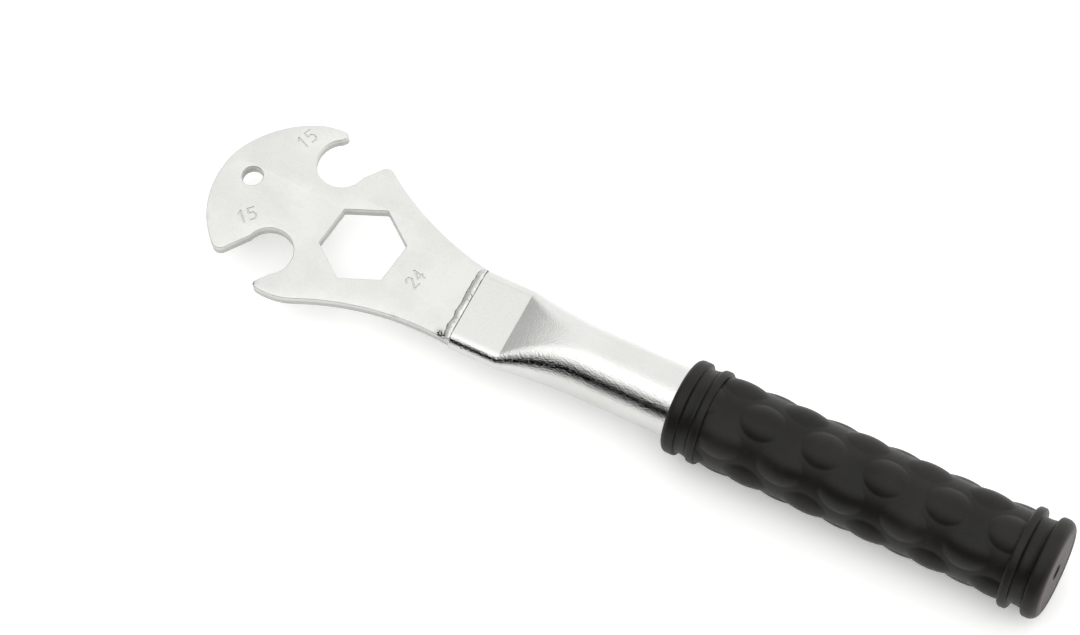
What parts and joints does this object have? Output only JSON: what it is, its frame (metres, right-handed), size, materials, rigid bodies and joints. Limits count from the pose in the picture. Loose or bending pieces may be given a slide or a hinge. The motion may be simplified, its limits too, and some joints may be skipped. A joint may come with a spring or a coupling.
{
  "type": "pedal wrench",
  "caption": "Flat steel head with opposed open jaws, a hexagon hole and a hanging hole, welded to a flattened tube handle with a bumpy rubber grip.",
  "frame": {"origin": "centre of the part's box in plan, at the height of the grip's lowest point, the part lying level", "axes": "+X along the handle from the head to the grip's end, +Y across towards the upper jaw, +Z the head plate's normal, upwards"},
  "size_m": [0.2942, 0.061, 0.033],
  "materials": {
    "plate": "satin plated, lightly speckled",
    "tube": "bright plated, faint orange peel",
    "weld": "plated weld bead with dark specks",
    "rubber": "satin black, moulded"
  },
  "bodies": {
    "root": {"head_plate": "plate", "handle_tube": "tube", "weld_top": "weld", "weld_bottom": "weld", "grip": "rubber"}
  },
  "joints": []
}
